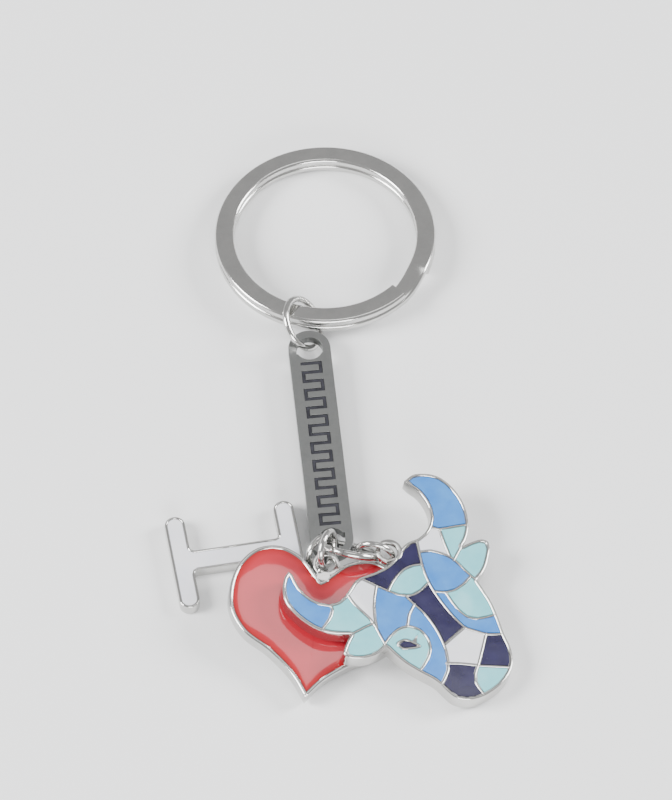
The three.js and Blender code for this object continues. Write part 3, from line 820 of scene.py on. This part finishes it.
# raised walls between the fields
bullWalls = {
    "hornRoot": [(0.2, 28.0), (-2.3, 27.4), (-4.1, 26.9), (-5.8, 27.4)],
    "hornSplit": [(-4.1, 26.9), (-3.5, 25.0), (-2.7, 22.9)],
    "brow": [(-6.8, 23.2), (-5.4, 23.5), (-4.1, 23.3), (-2.7, 22.8), (-1.6, 21.9), (-0.6, 20.8),
             (1.2, 19.2)],
    "earFold": [(-0.8, 25.3), (-1.4, 24.0), (-2.2, 22.3)],
    "noseLong": [(-7.3, 25.6), (-6.9, 23.4), (-6.5, 21.4), (-6.0, 19.8), (-5.2, 18.0), (-4.3, 16.5),
                 (-3.3, 15.1), (-2.1, 13.6), (-0.8, 12.3)],
    "forehead": [(-6.4, 21.4), (-8.2, 20.9), (-9.4, 19.9), (-10.4, 18.4), (-11.0, 17.0)],
    "cheekTop": [(0.1, 20.1), (-1.1, 18.6), (-2.8, 17.5), (-4.9, 17.4)],
    "cheekStripe": [(-3.4, 17.5), (-2.1, 15.5), (-0.9, 14.2), (0.3, 13.7), (1.7, 13.9), (4.0, 14.8)],
    "muzzleTop": [(-0.9, 12.3), (0.9, 11.8), (2.3, 11.5), (5.0, 11.8)],
    "muzzleSide": [(-0.7, 12.4), (-3.4, 9.6)],
    "noseShort": [(-8.9, 16.6), (-7.4, 15.1), (-6.2, 14.0), (-4.9, 12.2), (-4.0, 10.5), (-3.4, 8.9),
                  (-3.1, 7.3), (-3.0, 6.0), (-3.3, 4.8), (-4.2, 3.0)],
    "nostril": [(2.1, 11.6), (1.6, 9.2), (1.0, 6.7)],
    "mouth": [(-3.2, 6.7), (-1.1, 6.8), (1.0, 6.7), (6.0, 6.8)],
    "chin": [(1.0, 6.8), (0.6, 5.1), (0.8, 3.9), (2.2, 1.9)],
    "cheekFold": [(-7.5, 15.3), (-8.2, 13.7), (-8.5, 11.8)],
    "eyeBag": [(-11.6, 8.9), (-10.0, 11.1), (-8.4, 11.9), (-6.7, 11.4), (-5.6, 10.0), (-5.4, 8.3),
               (-6.0, 6.6), (-7.3, 4.6)],
    "temple": [(-16.7, 16.3), (-15.4, 14.4), (-14.2, 13.3), (-13.1, 12.1), (-12.3, 10.6), (-11.2, 8.4)],
    "templeFold": [(-12.6, 17.7), (-12.9, 15.4), (-12.9, 13.4), (-12.6, 11.4)],
    "foreheadBase": [(-15.2, 18.8), (-12.7, 17.7), (-11.0, 17.0), (-9.2, 16.5), (-7.4, 16.8),
                     (-5.6, 18.7)],
    "earMiddle": [(-16.4, 9.9), (-14.9, 10.8), (-14.0, 11.4), (-12.9, 12.0)],
    "leftHornRoot": [(-18.9, 14.8), (-18.5, 13.4), (-18.9, 12.1), (-20.3, 10.0)],
    "eye": [(-9.8, 9.2), (-8.8, 9.8), (-7.7, 9.5), (-6.8, 9.0), (-8.0, 8.6), (-9.2, 8.5)],
}
bullColours = {
    "bull_right_horn": "sky", "bull_horn_root_cyan": "cyan", "bull_horn_root_white": "white",
    "bull_right_ear": "cyan", "bull_forehead_navy": "navy", "bull_forehead_cyan": "cyan", "bull_crown": "sky",
    "bull_right_cheek": "cyan", "bull_cheek_stripe": "sky", "bull_nose_stripe": "navy",
    "bull_muzzle_white": "white", "bull_muzzle_right": "navy", "bull_muzzle_left": "navy",
    "bull_muzzle_cyan": "cyan", "bull_nose_side": "sky", "bull_left_cheek": "sky", "bull_eye_field": "cyan",
    "bull_eye": "navy", "bull_temple": "white", "bull_left_ear_upper": "cyan", "bull_left_ear_lower": "cyan",
    "bull_left_horn": "sky",
}


def insideLoop(point, loop):
    inside = False
    for k, q in enumerate(loop):
        before = loop[k - 1]
        if (q.y > point.y) != (before.y > point.y):
            crossing = (before.x - q.x) * (point.y - q.y) / (before.y - q.y) + q.x
            if point.x < crossing:
                inside = not inside
    return inside


def createBull():
    p = bull
    outline = []
    for run in bullOutline.values():
        outline += smoothRun(run, runStep["outline"])[:-1]
    keep = insetLoop(outline, p["rim"])
    walls = []
    for name, run in bullWalls.items():
        line = smoothRun(run, runStep["wall"], closed=name == "eye")
        if name == "eye":
            for _ in range(p["eyeSoftening"]):
                line = [(line[k - 1] + q + line[(k + 1) % len(line)]) / 3 for k, q in enumerate(line)]
            line.append(line[0])
        walls.append([q for q in line if insideLoop(q, keep)])
    createMetalwork("bullMetalwork", "bull_body", "bull_charm", p, outline, walls)
    for field, colour in bullColours.items():
        glaze(field + "_enamel", colour)


createBull()
print("bull's head charm made")


for field in [*bullColours, "i_charm"]:
    roundEdges(field + "_enamel", edgeLook["enamel"])


stageLook = {"floor": (0.93, 0.935, 0.94), "floorDim": (0.8, 0.8, 0.81), "dimShare": 0.1, "tone": (9, 3, 0.5),
             "roughness": 0.7, "floorSize": 4.0, "world": 0.55}
lamps = {
    "panel": {"at": (0.17, 0.24, 0.85), "to": (0.17, 0.24, 0), "size": (0.42, 0.24), "power": 0.75},
    "left": {"at": (-0.85, -0.15, 0.6), "to": (0, 0, 0), "size": (0.5, 0.5), "power": 20.0},
    "right": {"at": (0.85, 0.2, 0.5), "to": (0, 0, 0), "size": (0.4, 0.4), "power": 13.0},
    "front": {"at": (0.1, -0.9, 0.35), "to": (0, 0, 0), "size": (0.6, 0.3), "power": 8.0},
}


def createStage():
    half = stageLook["floorSize"] / 2
    corners = [(-half, -half, 0), (half, -half, 0), (half, half, 0), (-half, half, 0)]
    floor = meshOf("floor", corners, [(0, 1, 2, 3)])
    s = Shader("paleFloor")
    tone = s.patches(stageLook["tone"])
    shade = s.blend(tone * stageLook["dimShare"], stageLook["floor"], stageLook["floorDim"])
    floor.materials.append(s.finish(Base_Color=shade, Roughness=stageLook["roughness"]))
    sheet = bpy.data.objects.new("floor", floor)
    bpy.context.scene.collection.objects.link(sheet)
    made = [sheet]
    for name, lamp in lamps.items():
        data = bpy.data.lights.new(name, "AREA")
        data.shape = "RECTANGLE"
        data.size, data.size_y = lamp["size"]
        data.energy = lamp["power"]
        light = bpy.data.objects.new(name, data)
        light.location = lamp["at"]
        aim = Vector(lamp["to"]) - Vector(lamp["at"])
        light.rotation_euler = aim.to_track_quat("-Z", "Y").to_euler()
        bpy.context.scene.collection.objects.link(light)
        made.append(light)
    world = bpy.data.worlds.new("studio")
    world.use_nodes = True
    background = world.node_tree.nodes["Background"]
    background.inputs["Color"].default_value = (1, 1, 1, 1)
    background.inputs["Strength"].default_value = stageLook["world"]
    bpy.context.scene.world = world
    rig.stage(*made)


createStage()
print("stage set")

with open("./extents.json", "w") as sizes:
    json.dump({"cad": cadBounds, "visual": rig.bounds()}, sizes,
              default=lambda value: [list(row) if hasattr(row, "__len__") else row for row in value])
